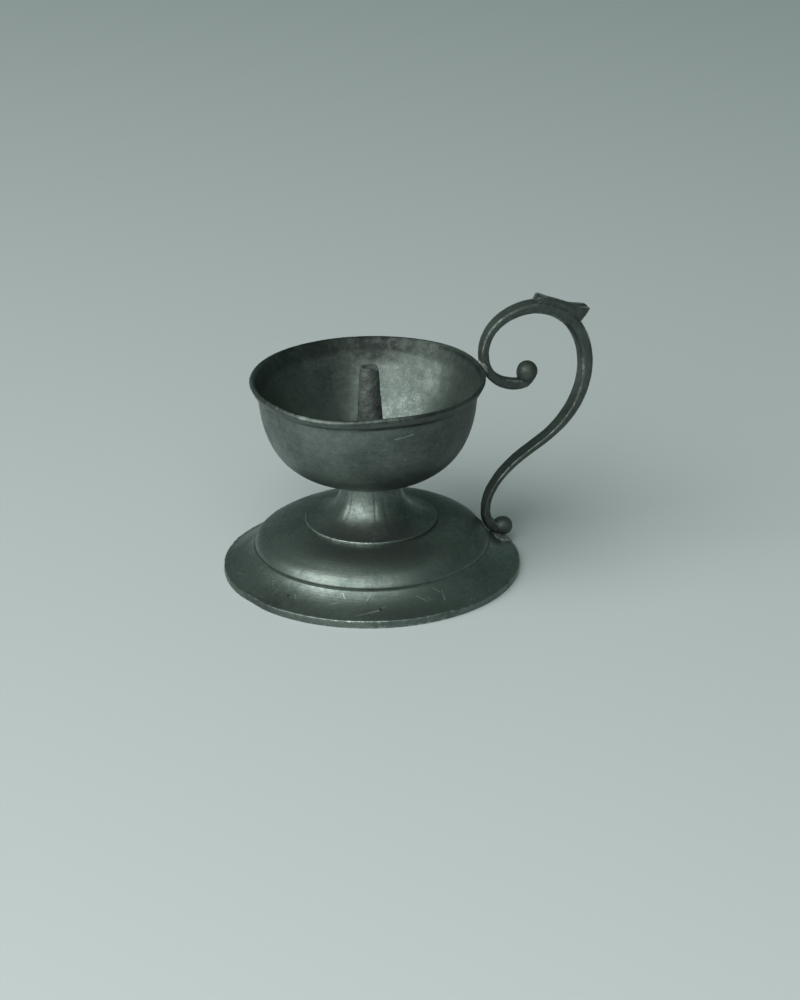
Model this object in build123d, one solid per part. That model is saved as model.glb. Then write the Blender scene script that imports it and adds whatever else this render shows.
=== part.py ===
from build123d import *
import os

# Chamberstick with a finger loop: a turned pewter foot, stem and bowl, clamped on one iron pricket,
# with a cast scroll handle soldered to the rim and to the foot. Millimetres, +Z up.
# The origin lies on the turning axis, on the surface that the foot stands on. The handle points to +X.

# Foot
foot_radius = 50.0
foot_height = 17.0
foot_wall = 2.0
edge_height = 2.0
ring_width = 2.0
flange_width = 10.65
groove_height = 8.9
groove_size = 0.45
seat_margin = 0.4
flange_start_shares = (0.20, 0.43)
flange_end_shares = (0.30, 0.145)
dome_start_shares = (0.05, 0.32)
dome_end_shares = (0.69, 0.06)

# Stem
stem_height = 16.4
stem_disc_radius = 22.3
stem_disc_edge = 0.9
waist_radius = 10.0
collar_overhang = 0.8
collar_height = 0.9
collar_drop = 1.3
stem_start_shares = (0.715, 0.098)
stem_end_shares = (0.049, 0.654)

# Bowl
bowl_height = 34.6
bowl_wall = 1.4
bowl_floor = 2.2
bowl_radius = 36.5
bowl_seat_radius = 11.0
rim_overhang = 2.75
rim_width = 1.8
lip_height = 3.3
lip_step = 1.5
throat_depth = 4.2
bowl_start_shares = (0.03, 0.66)
bowl_end_shares = (0.65, 0.06)
throat_start_shares = (0.50, 0.30)
throat_end_shares = (0.16, 0.50)
inside_start_shares = (0.09, 0.38)
inside_end_shares = (0.66, 0.03)

# Pricket with its shank, washer and nut
pricket_base_radius = 5.5
pricket_top_radius = 3.05
pricket_length = 36.2
pricket_round = 0.4
shank_radius = 3.0
shank_clearance = 0.25
thread_clearance = 0.1
shank_stickout = 1.5
washer_radius = 9.0
washer_thickness = 1.2
nut_sides = 6
nut_across_flats = 10.0
nut_height = 5.0
nut_chamfer = 0.6

# Scroll handle: how far its back stands out from the rim and how high its top stands over the rim,
# both to the middle of the strap, how far from the foot's edge its lower curl is soldered on, and how
# high that curl stands over the solder
handle_reach = 37.1
handle_rise = 17.8
handle_inset = 5.0
lower_curl_height = 10.0
strap_thickness = 4.9
strap_width = 6.2
seat_gap = 0.05

# Middle of the loop, as shares of the reach outwards and of the rise upwards from the rim
loop_shares = [
    (0.505, -0.376), (0.416, -0.494), (0.275, -0.497), (0.082, -0.243), (0.020, 0.202),
    (0.112, 0.673), (0.300, 0.923), (0.520, 0.985), (0.827, 0.680), (1.000, -0.170),
]
# Middle of the leg, as shares of the drop from the rim to the solder on the foot, and of the reach
# outwards from the straight line between those two
leg_shares = [(0.298, 0.851), (0.45, 0.592), (0.564, 0.275), (0.698, 0.02)]
# Middle of the lower curl, outwards and upwards from the solder, as shares of the curl's height
lower_curl_shares = [(-0.417, 1.000), (-0.240, 0.445), (0.225, 0.204)]
# Rounding of the strap's corners, as a share of its half thickness or half width, whichever is less
strap_corner_share = 0.5
# Thickness and width of the strap at each of those places, as shares of the largest
thickness_shares = [
    0.30, 0.74, 0.76, 0.68, 0.57, 0.55, 0.63, 0.82, 1.00, 0.88,
    0.62, 0.45, 0.42, 0.36, 0.45, 0.78, 0.61,
]
width_shares = [
    0.48, 0.65, 0.68, 0.71, 0.77, 0.84, 0.94, 0.97, 0.97, 1.00,
    1.00, 0.90, 0.90, 0.85, 0.81, 0.77, 0.68,
]

# Balls that close the two ends of the scroll, by how far each stands from its end of the strap
upper_ball_radius = 3.45
lower_ball_radius = 3.15
upper_ball_offset = (-2.4, 1.6)
lower_ball_offset = (0.0, 1.0)

# Thumb leaf: its stretch of the strap as shares of the scroll, its outline as shares of that chord
# along the strap and of its height over the chord, and its half plan as shares of chord and width
thumb_start_share = 0.325
thumb_end_share = 0.434
thumb_height = 5.7
thumb_width = 6.0
thumb_back_shares = [
    (0.00, 0.40), (0.10, 0.47), (0.30, 0.52), (0.54, 0.62), (0.72, 0.72), (0.91, 0.96), (1.08, 0.95),
]
thumb_plan_shares = [(-0.02, 0.80), (0.10, 0.96), (0.45, 1.00), (0.80, 0.92), (1.10, 0.22)]

# Solder at the rim and on the foot, as half sizes out, across and up
rim_solder_size = (1.8, 4.4, 2.3)
foot_solder_size = (4.4, 4.6, 1.3)
rim_solder_drop = 1.9
foot_solder_lift = 0.25

# One overrun serves every cut
overrun = 2.0

# Levels and radii that follow from the sizes above
groove_radius = foot_radius - flange_width
collar_radius = waist_radius + collar_overhang
rim_radius = bowl_radius + rim_overhang
seat_radius = stem_disc_radius + seat_margin
stem_base = foot_height
bowl_base = foot_height + stem_height
rim_height = bowl_base + bowl_height
lip_base = rim_height - lip_height
rim_bead = rim_width / 2
floor_height = bowl_base + bowl_floor
foot_underside = foot_height - foot_wall
washer_base = foot_underside - washer_thickness
nut_base = washer_base - nut_height
bore_radius = shank_radius + shank_clearance
foot_joint_radius = foot_radius - handle_inset


def at(radius, height):
    """A point of a turned outline."""
    return Vector(radius, 0, height)


def curve(start, end, start_shares, end_shares):
    """A curve between two outline points; the shares say how far each end pulls it along."""
    run = end - start
    first = start + Vector(run.X * start_shares[0], 0, run.Z * start_shares[1])
    last = end - Vector(run.X * end_shares[0], 0, run.Z * end_shares[1])
    return Bezier(start, first, last, end)


def chain(*points):
    """Straight edges from point to point."""
    return [Line(a, b) for a, b in zip(points, points[1:])]


def turned(edges):
    """The solid that a closed outline makes when it is turned about the axis."""
    return revolve(make_face(edges), Axis.Z)


def disc(radius, low, high):
    """A round block on the axis between two heights."""
    return Pos(0, 0, low) * Cylinder(radius, high - low, align=(Align.CENTER, Align.CENTER, Align.MIN))


def drilled(radius, low, high):
    """A round cut along the axis through a wall, with overrun at both ends."""
    return disc(radius, low - overrun, high + overrun)


def flange_curve(inner, outer):
    return curve(inner, outer, flange_start_shares, flange_end_shares)


def dome_curve(outer, inner):
    return curve(outer, inner, dome_start_shares, dome_end_shares)


foot_crease = at(groove_radius, groove_height)
foot_edge = at(foot_radius, edge_height)
flange_top = flange_curve(foot_crease, foot_edge)


def foot_body(lift):
    """Everything under the foot's upper face, raised by a lift."""
    shift = Vector(0, 0, lift)
    rim, crease, seat = foot_edge + shift, foot_crease + shift, at(seat_radius, foot_height) + shift
    edges = [flange_curve(crease, rim), dome_curve(crease, seat)]
    edges += chain(seat, at(0, foot_height) + shift, at(0, 0), at(foot_radius, 0), rim)
    return turned(edges)


def foot_hollow():
    """The space under the foot, one wall inside its upper face and open below."""
    crease = at(groove_radius - foot_wall, groove_height - foot_wall)
    ring = at(foot_radius - ring_width, 0)
    top = at(seat_radius - foot_wall, foot_underside)
    edges = [flange_curve(crease, ring), dome_curve(crease, top)]
    edges += chain(top, at(0, foot_underside), at(0, 0), ring)
    return turned(edges)


def foot():
    crease_line = Pos(0, 0, groove_height) * Torus(groove_radius, groove_size)
    hole = drilled(bore_radius, foot_underside, foot_height)
    return foot_body(0) - foot_hollow() - crease_line - hole


def stem():
    disc_top = at(stem_disc_radius, stem_base + stem_disc_edge)
    collar_low = bowl_base - collar_drop
    waist = at(waist_radius, collar_low)
    collar_top = collar_low + collar_height
    edges = [curve(disc_top, waist, stem_start_shares, stem_end_shares)]
    edges += chain(
        waist, at(collar_radius, collar_low), at(collar_radius, collar_top),
        at(waist_radius, bowl_base), at(0, bowl_base), at(0, stem_base),
        at(stem_disc_radius, stem_base), disc_top,
    )
    return turned(edges) - drilled(bore_radius, stem_base, bowl_base)


def bowl():
    bead_height = rim_height - rim_bead
    bead_middle = rim_radius - rim_bead
    wall = at(bowl_radius, lip_base)
    lip = at(bowl_radius + lip_step, lip_base)
    crest_out = at(rim_radius, bead_height)
    crest = at(bead_middle, rim_height)
    crest_in = at(rim_radius - rim_width, bead_height)
    throat = at(bowl_radius - bowl_wall, rim_height - throat_depth)
    seat = at(bowl_seat_radius, bowl_base)
    floor = at(bowl_seat_radius - bowl_wall, floor_height)
    edges = [curve(wall, seat, bowl_start_shares, bowl_end_shares)]
    edges += chain(wall, lip, crest_out)
    edges += [ThreePointArc(crest_out, crest, crest_in)]
    edges += [curve(crest_in, throat, throat_start_shares, throat_end_shares)]
    edges += [curve(throat, floor, inside_start_shares, inside_end_shares)]
    edges += chain(floor, at(0, floor_height), at(0, bowl_base), seat)
    return turned(edges) - drilled(bore_radius, bowl_base, floor_height)


def pricket():
    top = floor_height + pricket_length
    base = at(pricket_base_radius, floor_height)
    shank_end = nut_base - shank_stickout
    taper_share = pricket_round / pricket_length
    shoulder = pricket_top_radius + (pricket_base_radius - pricket_top_radius) * taper_share
    edges = chain(
        at(0, top), at(pricket_top_radius - pricket_round, top), at(shoulder, top - pricket_round),
        base, at(shank_radius, floor_height), at(shank_radius, shank_end), at(0, shank_end), at(0, top),
    )
    return turned(edges)


def clamp_washer():
    washer = disc(washer_radius, washer_base, foot_underside)
    return washer - drilled(bore_radius, washer_base, foot_underside)


def clamp_nut():
    flats = RegularPolygon(nut_across_flats / 2, nut_sides, major_radius=False)
    nut = Pos(0, 0, nut_base) * extrude(flats, nut_height)
    nut = chamfer(nut.edges().group_by(Axis.Z)[0], nut_chamfer)
    return nut - drilled(shank_radius + thread_clearance, nut_base, washer_base)


def foot_joint():
    """Where the lower curl is soldered on: the point of the flange at that radius."""
    plumb = Line(at(foot_joint_radius, 0), at(foot_joint_radius, foot_height))
    return flange_top.intersect(plumb)[0].center()


def scroll_points():
    """Middle of the strap, from the upper curl over the loop and down the leg to the lower curl."""
    joint = foot_joint()
    drop = rim_height - joint.Z
    points = [at(rim_radius + out * handle_reach, rim_height + up * handle_rise) for out, up in loop_shares]
    for down, out in leg_shares:
        straight = rim_radius + (joint.X - rim_radius) * down
        points.append(at(straight + out * handle_reach, rim_height - down * drop))
    for out, up in lower_curl_shares:
        points.append(joint + at(out * lower_curl_height, up * lower_curl_height))
    return points


scroll_middle = scroll_points()
scroll_path = Spline(*scroll_middle)
scroll_stations = [scroll_path.param_at_point(point) for point in scroll_middle]


def strap_size(place):
    """Half thickness and half width of the strap at a place along the scroll."""
    last = len(scroll_stations) - 2
    k = min(max(i for i, s in enumerate(scroll_stations) if s <= place), last)
    part = (place - scroll_stations[k]) / (scroll_stations[k + 1] - scroll_stations[k])
    thick, wide = (
        shares[k] + (shares[k + 1] - shares[k]) * part for shares in (thickness_shares, width_shares)
    )
    return thick * strap_thickness / 2, wide * strap_width / 2


def strap_frame(place):
    """A plane square to the scroll, with its X towards the outside of the loop."""
    along = scroll_path % place
    return Plane(scroll_path @ place, x_dir=Vector(-along.Z, 0, along.X), z_dir=along)


def strap_section(place):
    """A flat bar with rounded corners, square to the scroll."""
    thick, wide = strap_size(place)
    corner = strap_corner_share * min(thick, wide)
    return strap_frame(place) * RectangleRounded(2 * thick, 2 * wide, corner)


def scroll_places():
    """The named places of the scroll and one halfway between each two."""
    halves = [(a + b) / 2 for a, b in zip(scroll_stations, scroll_stations[1:])]
    return sorted(scroll_stations + halves)


def ball(end, offset, radius):
    return Pos(end.X + offset[0], 0, end.Z + offset[1]) * Sphere(radius)


def upper_scroll_ball():
    return ball(scroll_middle[0], upper_ball_offset, upper_ball_radius)


def lower_scroll_ball():
    return ball(scroll_middle[-1], lower_ball_offset, lower_ball_radius) - foot_body(seat_gap)


def scroll_handle():
    strap = loft([strap_section(place) for place in scroll_places()])
    rim_seat = disc(rim_radius + seat_gap, bowl_base, rim_height + seat_gap)
    return strap - rim_seat - foot_body(seat_gap) - upper_scroll_ball() - lower_scroll_ball()


def outer_edge(place):
    """A point on the outside of the loop."""
    return strap_frame(place).from_local_coords(Vector(strap_size(place)[0], 0, 0))


def thumb_side(start, end):
    """The leaf seen from the side: its back over the chord, its root on the middle of the strap."""
    seat = Plane(start, x_dir=end - start, z_dir=Vector(0, -1, 0))
    chord = (end - start).length
    halfway = (thumb_start_share + thumb_end_share) / 2
    back = [seat.from_local_coords((along * chord, up * thumb_height)) for along, up in thumb_back_shares]
    roots = [scroll_path @ place for place in (thumb_end_share, halfway, thumb_start_share)]
    edges = [Spline(*back), *chain(back[-1], end, roots[0]), Spline(*roots), *chain(roots[-1], back[0])]
    return extrude(make_face(edges), thumb_width, dir=(0, 1, 0), both=True)


def thumb_plan(start, end):
    """The leaf seen from above: rounded in front, drawn out to a spur behind."""
    chord = (end - start).length
    half = [(along * chord, out * thumb_width / 2) for along, out in thumb_plan_shares]
    other = [(along, -out) for along, out in reversed(half)]
    edges = [Spline(*half), *chain(half[-1], other[0]), Spline(*other), *chain(other[-1], half[0])]
    over = Plane(start, x_dir=end - start, z_dir=Vector(start.Z - end.Z, 0, end.X - start.X))
    return extrude(over * make_face(edges), 2 * thumb_height, both=True)


def thumb_rest(strap):
    """A leaf that sits astride the strap, with a turned-up lip in front and a spur behind."""
    start, end = outer_edge(thumb_start_share), outer_edge(thumb_end_share)
    return (thumb_side(start, end) & thumb_plan(start, end)) - strap


def blob(size, tilt, middle):
    """A flattened ball of solder, by its half sizes out, across and up."""
    out, across, up = size
    return Pos(*middle) * Rot(0, tilt, 0) * scale(Sphere(out), by=(1, across / out, up / out))


def rim_solder(body, strap):
    middle = at(rim_radius, rim_height - rim_solder_drop)
    return blob(rim_solder_size, 0, middle) - body - strap


def foot_solder(body, strap, end_ball):
    joint = foot_joint()
    slope = flange_top % flange_top.param_at_point(joint)
    tilt = Vector(1, 0, 0).get_angle(slope)
    middle = joint + Vector(0, 0, foot_solder_lift)
    return blob(foot_solder_size, tilt, middle) - body - strap - end_ball


def build():
    """Every piece by its name."""
    pieces = {
        "foot": foot(),
        "stem": stem(),
        "bowl": bowl(),
        "pricket": pricket(),
        "clamp_washer": clamp_washer(),
        "clamp_nut": clamp_nut(),
        "scroll_handle": scroll_handle(),
        "upper_scroll_ball": upper_scroll_ball(),
        "lower_scroll_ball": lower_scroll_ball(),
    }
    strap = pieces["scroll_handle"]
    pieces["thumb_rest"] = thumb_rest(strap)
    pieces["rim_solder"] = rim_solder(pieces["bowl"], strap)
    pieces["foot_solder"] = foot_solder(pieces["foot"], strap, pieces["lower_scroll_ball"])
    return pieces


os.makedirs("parts", exist_ok=True)
for name, piece in build().items():
    export_step(piece, f"parts/{name}.step")
    box = piece.bounding_box()
    print(name, round(piece.volume, 1), [round(v, 2) for v in (*box.min, *box.max)])
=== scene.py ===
# %% [markdown]
# A chamberstick is a low candle holder that is carried by a finger loop. This one is pewter, gone
# dark with age: a turned foot, stem and bowl, an iron pricket for the candle, and a cast handle.
# The exact model gives every piece its size and place, and this lesson gives it its looks.
# The frame comes first, and the main sizes are read from its boxes.

# %% Load the frame
import math
import random
import bmesh
import bpy
import numpy as np
from mathutils import Matrix, Vector, noise


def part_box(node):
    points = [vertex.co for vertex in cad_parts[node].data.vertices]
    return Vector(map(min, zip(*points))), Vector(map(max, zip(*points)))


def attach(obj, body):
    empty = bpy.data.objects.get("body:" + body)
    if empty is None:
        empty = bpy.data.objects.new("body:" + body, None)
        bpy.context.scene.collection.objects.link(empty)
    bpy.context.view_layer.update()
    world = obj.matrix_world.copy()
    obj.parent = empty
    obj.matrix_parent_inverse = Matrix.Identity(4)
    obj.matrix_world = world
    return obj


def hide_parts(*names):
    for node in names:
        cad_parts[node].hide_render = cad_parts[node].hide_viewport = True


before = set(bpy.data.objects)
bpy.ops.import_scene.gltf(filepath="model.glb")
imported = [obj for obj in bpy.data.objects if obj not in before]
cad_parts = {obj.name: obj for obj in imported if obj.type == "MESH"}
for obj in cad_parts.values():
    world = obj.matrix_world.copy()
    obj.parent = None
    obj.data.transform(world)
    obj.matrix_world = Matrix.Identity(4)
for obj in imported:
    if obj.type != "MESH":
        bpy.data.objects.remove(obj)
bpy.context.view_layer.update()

print("nodes of the frame:", sorted(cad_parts))

# %% [markdown]
# All shapes below are written in millimetres, as on a workshop drawing, and turned into Blender's
# metres in one place. The main sizes are read from the frame's own boxes, so they can't drift.

# %% Sizes from the frame
MM = 0.001


def corners(node):
    """The lowest and the highest corner of a node of the frame, in millimetres."""
    low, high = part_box(node)
    return np.array(low) / MM, np.array(high) / MM


foot_radius, foot_height = corners("foot")[1][[0, 2]]
disc_radius, bowl_base = corners("stem")[1][[0, 2]]
rim_radius, rim_height = corners("bowl")[1][[0, 2]]
pricket_end, pricket_top = corners("pricket")[0][2], corners("pricket")[1][2]
pricket_base_radius = corners("pricket")[1][0]
print("foot", foot_radius, foot_height, "rim", rim_radius, rim_height, "pricket top", pricket_top)

# %% [markdown]
# The camera stands where the photographer stood. Its place and its three angles were worked out from
# the ellipses of the rim and the foot, which say how far off and how high the lens was. A long lens
# at a metre keeps the ellipses calm. Sideways, the handle's plane is turned a little from the view.
# Several marks below are placed by the side that faces the camera, so that bearing is kept too.

# %% Camera
camera_place = (-279.3, -885.8, 429.5)
camera_heading, camera_pitch, camera_roll = -18.10, 23.61, -0.60
camera_lens = 108.7
camera_side = math.degrees(math.atan2(camera_place[1], camera_place[0]))


def photo_camera():
    """A camera at the photograph's viewing angle."""
    data = bpy.data.cameras.new("camera")
    data.lens = camera_lens
    data.sensor_width = 36.0
    camera = bpy.data.objects.new("camera", data)
    turn = Matrix.Rotation(math.radians(camera_heading), 4, "Z")
    tilt = Matrix.Rotation(math.radians(90 - camera_pitch), 4, "X")
    roll = Matrix.Rotation(math.radians(camera_roll), 4, "Z")
    camera.matrix_world = Matrix.Translation(Vector(camera_place) * MM) @ turn @ tilt @ roll
    bpy.context.scene.collection.objects.link(camera)
    bpy.context.scene.camera = camera
    return camera


def seen_at(angle):
    """The bearing of an angle round the axis, in degrees: 0 faces the camera, above 0 is to its right."""
    return (np.degrees(angle) - camera_side + 180) % 360 - 180


camera = photo_camera()
print("camera at", [round(v, 3) for v in camera.location], "facing", round(camera_side, 1))

# %% [markdown]
# A finish is a small net of nodes: noise, steps, sums and mixes that end in one shader. These helpers
# add a node and wire it in one line, so that the metals further down read like recipes.

# %% Helpers for nodes


def put(tree, kind, inputs=None, **settings):
    """Adds a node. A socket among the inputs is linked, and any other value is set."""
    made = tree.nodes.new("ShaderNode" + kind)
    for key, value in settings.items():
        setattr(made, key, value)
    for key, value in (inputs or {}).items():
        if isinstance(value, bpy.types.NodeSocket):
            tree.links.new(value, made.inputs[key])
        else:
            made.inputs[key].default_value = value
    return made


def finish(name):
    """A new material with its node tree and its shader."""
    material = bpy.data.materials.new(name)
    material.use_nodes = True
    return material, material.node_tree, material.node_tree.nodes["Principled BSDF"]


def grain(tree, place, size, detail=4.0, rough=0.55):
    """Noise with bumps of about a size in millimetres."""
    inputs = {"Vector": place, "Scale": 1 / (size * MM), "Detail": detail, "Roughness": rough}
    return put(tree, "TexNoise", inputs).outputs["Fac"]


def between(tree, value, low, high, out_low=0.0, out_high=1.0):
    """A soft step of a value from low to high."""
    inputs = {"Value": value, "From Min": low, "From Max": high, "To Min": out_low, "To Max": out_high}
    return put(tree, "MapRange", inputs, interpolation_type="SMOOTHSTEP").outputs["Result"]


def maths(tree, operation, first, second=0.0):
    """A sum, product or other result of two values."""
    return put(tree, "Math", {0: first, 1: second}, operation=operation).outputs[0]


def weighed(tree, *parts):
    """The sum of several values, each times its share."""
    total = 0.0
    for value, share in parts:
        total = put(tree, "Math", {0: value, 1: share, 2: total}, operation="MULTIPLY_ADD").outputs[0]
    return total


def mixed(tree, share, first, second):
    """A colour between two colours."""
    return put(tree, "Mix", {0: share, 6: first, 7: second}, data_type="RGBA").outputs[2]


print("helpers for nodes are ready")

# %% [markdown]
# Metal shows what stands around it, so the light is half of its finish. One big soft window in front
# and to the left makes the broad sheen on the dome, the stem and the inside of the bowl. A smaller and
# weaker panel beside it fades that sheen out to the right. The rest of the room stays dim. The floor
# is plain and pale, and it also lights the pewter from below, as a table does.

# %% Floor and light
floor_half = 6000.0
floor_colour, floor_roughness = (0.43, 0.470, 0.472, 1), 0.55
room_colour, room_strength = (0.66, 1.0, 0.88, 1), 0.19
window = {"bearing": -46.0, "height": 35.0, "distance": 1600.0, "size": (2100.0, 1750.0), "power": 48.0}
side_panel = {"bearing": 5.0, "height": 37.0, "distance": 1600.0, "size": (900.0, 1600.0), "power": 8.5}


def pale_floor():
    """A wide plain floor at the foot's standing ring."""
    mesh = bpy.data.meshes.new("floor")
    sides = ((-1, -1), (1, -1), (1, 1), (-1, 1))
    mesh.from_pydata([(x * floor_half * MM, y * floor_half * MM, 0) for x, y in sides], [], [(0, 1, 2, 3)])
    floor = bpy.data.objects.new("floor", mesh)
    bpy.context.scene.collection.objects.link(floor)
    material, _, shader = finish("floor_paint")
    shader.inputs["Base Color"].default_value = floor_colour
    shader.inputs["Roughness"].default_value = floor_roughness
    floor.data.materials.append(material)
    return floor


def soft_light(name, bearing, height, distance, size, power):
    """A big lamp aimed at the bowl. Its bearing is counted from the camera's side, to the right."""
    data = bpy.data.lights.new(name, "AREA")
    data.shape = "RECTANGLE"
    data.size, data.size_y = size[0] * MM, size[1] * MM
    data.energy = power
    lamp = bpy.data.objects.new(name, data)
    side, lift = math.radians(bearing + camera_side), math.radians(height)
    away = Vector((math.cos(side) * math.cos(lift), math.sin(side) * math.cos(lift), math.sin(lift)))
    aim = Vector((0, 0, rim_height * MM / 2))
    turn = away.to_track_quat("Z", "Y").to_matrix().to_4x4()
    lamp.matrix_world = Matrix.Translation(aim + away * distance * MM) @ turn
    bpy.context.scene.collection.objects.link(lamp)
    return lamp


floor = pale_floor()
lamps = [soft_light("window", **window), soft_light("side_panel", **side_panel)]
world = bpy.data.worlds.new("room")
world.use_nodes = True
world.node_tree.nodes["Background"].inputs["Color"].default_value = room_colour
world.node_tree.nodes["Background"].inputs["Strength"].default_value = room_strength
bpy.context.scene.world = world
bpy.context.scene.view_settings.view_transform = "Standard"
print(floor.name, "reaches", floor_half, "mm each way")
for lamp in lamps:
    print(lamp.name, "at", [round(v, 2) for v in lamp.location])

# %% [markdown]
# Every piece is a skin over rings of points: rings around an axis for turned pieces, rings along a
# line for the handle. One helper makes such a mesh. A closed skin joins its last ring to its first,
# as a turned piece with a bore does, and an open one ends in a small fan at each end.

# %% Skins over rings


def skin(name, rings, closed):
    """A smooth mesh over rings of points in millimetres."""
    rings = np.asarray(rings, float)
    count, around = rings.shape[:2]
    index = np.arange(count * around).reshape(count, around)
    beside = np.roll(index, -1, axis=1)
    rows = count if closed else count - 1
    quads = np.stack([index, beside, np.roll(beside, -1, axis=0), np.roll(index, -1, axis=0)], axis=-1)
    faces = quads[:rows].reshape(-1, 4).tolist()
    points = rings.reshape(-1, 3)
    if not closed:
        first, last = len(points), len(points) + 1
        points = np.vstack([points, rings[0].mean(0), rings[-1].mean(0)])
        faces += [(b, a, first) for a, b in zip(index[0].tolist(), beside[0].tolist())]
        faces += [(a, b, last) for a, b in zip(index[-1].tolist(), beside[-1].tolist())]
    mesh = bpy.data.meshes.new(name)
    mesh.from_pydata((points * MM).tolist(), [], faces)
    shell = bmesh.new()
    shell.from_mesh(mesh)
    bmesh.ops.recalc_face_normals(shell, faces=shell.faces)
    shell.to_mesh(mesh)
    shell.free()
    mesh.shade_smooth()
    piece = bpy.data.objects.new(name, mesh)
    bpy.context.scene.collection.objects.link(piece)
    return piece


def paint(piece, name, values):
    """Keeps one number for each point of a piece, for its finish to read."""
    values = np.asarray(values, float).ravel()
    spare = len(piece.data.vertices) - len(values)
    values = np.concatenate([values, np.full(spare, values.mean())])
    piece.data.attributes.new(name, "FLOAT", "POINT").data.foreach_set("value", values)


def ripple(points, size, seed):
    """Smooth noise from -1 to 1 at points in millimetres, with bumps of about a size."""
    shift = Vector((seed * 7.31, seed * -3.77, seed * 5.13))
    flat = np.asarray(points, float).reshape(-1, 3) / size
    return np.array([noise.noise(Vector(p) + shift) for p in flat]).reshape(np.shape(points)[:-1])


def ramp(value, low, high):
    """A soft step from 0 to 1."""
    share = np.clip((value - low) / (high - low), 0, 1)
    return share * share * (3 - 2 * share)


def hump(value, middle, half):
    """A soft bump of height 1."""
    return np.exp(-(((value - middle) / half) ** 2))


print("helpers for skins are ready")

# %% [markdown]
# A turned piece starts as an outline: legs, straight or curved, that meet in corners. On old metal no
# corner is sharp, so each one is rounded by its own softness. The outline also tells where the metal is
# painted lighter or darker. Where it bends outwards, hands and cloths have rubbed it bright, and in
# places the same light paint is a painted highlight on the edge. Where it bends inwards, it is painted
# darker as painted shade in the crease. Both are measured from the bend and stored on the points.
# Neither is even all the way round, so a piece may say at which bearings its edges are rubbed and lit
# and where its creases are shaded.

# %% Outlines and turning
leg_steps, round_steps = 60, 7
bend_reach, bend_start, bend_span = 0.45, 0.15, 1.3


def leg(start, end, start_shares=(1 / 3, 1 / 3), end_shares=(1 / 3, 1 / 3)):
    """Points from one corner to the next. The shares say how far each end pulls the curve along."""
    start, end = np.array(start, float), np.array(end, float)
    first, last = start + (end - start) * start_shares, end - (end - start) * end_shares
    t = np.linspace(0, 1, leg_steps)[:, None]
    return (1 - t) ** 3 * start + 3 * (1 - t) ** 2 * t * first + 3 * (1 - t) * t**2 * last + t**3 * end


def cut_back(points, first, last, spacing):
    """A leg shortened at its two ends, with points an even distance apart."""
    along = np.concatenate([[0], np.cumsum(np.hypot(*np.diff(points, axis=0).T))])
    count = max(2, math.ceil((along[-1] - first - last) / spacing) + 1)
    places = np.linspace(first, along[-1] - last, count)
    return np.stack([np.interp(places, along, points[:, k]) for k in (0, 1)], axis=1)


def outline(spots, softness, spacing, curves=None, closed=True):
    """One line from corner to corner, anticlockwise. The corner after each leg is rounded by its softness.
    Curves hold the shares of the curved legs, under the number of the corner where each begins."""
    ends = spots[1:] + spots[:1] if closed else spots[1:]
    legs = [leg(a, b, *(curves or {}).get(k, ())) for k, (a, b) in enumerate(zip(spots, ends))]
    count = len(legs) if closed else len(legs) - 1
    before = [softness[-1] if closed else 0.0, *softness[:-1]]
    cut = [cut_back(p, a, b, spacing) for p, a, b in zip(legs, before, softness)]
    t = np.linspace(0, 1, round_steps)[1:-1, None]
    line = []
    for k, points in enumerate(cut):
        line.append(points)
        if k < count:
            after, corner = cut[(k + 1) % len(cut)][0], legs[k][-1]
            line.append((1 - t) ** 2 * points[-1] + 2 * (1 - t) * t * corner + t**2 * after)
    return np.vstack(line)


def bend_of(line):
    """How sharply an outline bends at each point: above zero outwards, below zero inwards."""
    step = np.diff(line, axis=0, append=line[:1])
    heading = np.arctan2(step[:, 1], step[:, 0])
    turn = (heading - np.roll(heading, 1) + math.pi) % (2 * math.pi) - math.pi
    along = np.concatenate([[0], np.cumsum(np.hypot(*step[:-1].T))])
    weight = hump(along[:, None], along[None], bend_reach)
    return weight @ turn / (bend_reach * math.sqrt(math.pi)), along


def level_circle(angle, radius):
    """Points on a circle round the axis."""
    return np.stack([np.cos(angle), np.sin(angle), 0 * angle], axis=-1) * radius


def seen_from(rings):
    """The bearing of each point of a turned piece, and its distance from the axis."""
    x, y = rings[..., 0], rings[..., 1]
    return seen_at(np.arctan2(y, x)), np.hypot(x, y)


def all_round(bearing, radius, height):
    """The same at every bearing, for edge wear and highlight and for crease shade."""
    return 1.0 + 0 * radius


def turned(name, line, around, closed=True, shape=None, shift=None, rubbed_and_lit=all_round, darkened=all_round):
    """A piece turned from an outline. A shape may dent it, and a shift may move it sideways."""
    angle = np.linspace(0, 2 * math.pi, around, endpoint=False)[None]
    radius, height = (np.repeat(line[:, k : k + 1], around, axis=1) for k in (0, 1))
    bend, along = bend_of(line)
    outwards, inwards = (np.clip((way * bend - bend_start) / bend_span, 0, 1)[:, None] for way in (1, -1))
    # Outward bends are painted light, as wear and partly as painted highlight; inward bends are painted
    # darker, as painted shade.
    wear_and_highlight = outwards * rubbed_and_lit(seen_at(angle), radius, height)
    crease_shade = inwards * darkened(seen_at(angle), radius, height)
    aside = shift(radius, height) if shift else (0, 0)
    if shape:
        radius, height = shape(radius, height, angle)
    x, y = radius * np.cos(angle) + aside[0], radius * np.sin(angle) + aside[1]
    rings = np.stack([x, y, height], axis=-1)
    piece = skin(name, rings, closed)
    paint(piece, "wear_and_highlight", wear_and_highlight)
    paint(piece, "crease_shade", crease_shade)
    for axis, values in zip("xyz", (np.cos(angle), np.sin(angle), along[:, None])):
        paint(piece, "turning_" + axis, np.broadcast_to(values, radius.shape))
    print(name, len(piece.data.vertices), "points")
    return piece, rings


print("a leg has", leg_steps, "points and a rounded corner", round_steps - 2)
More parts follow.
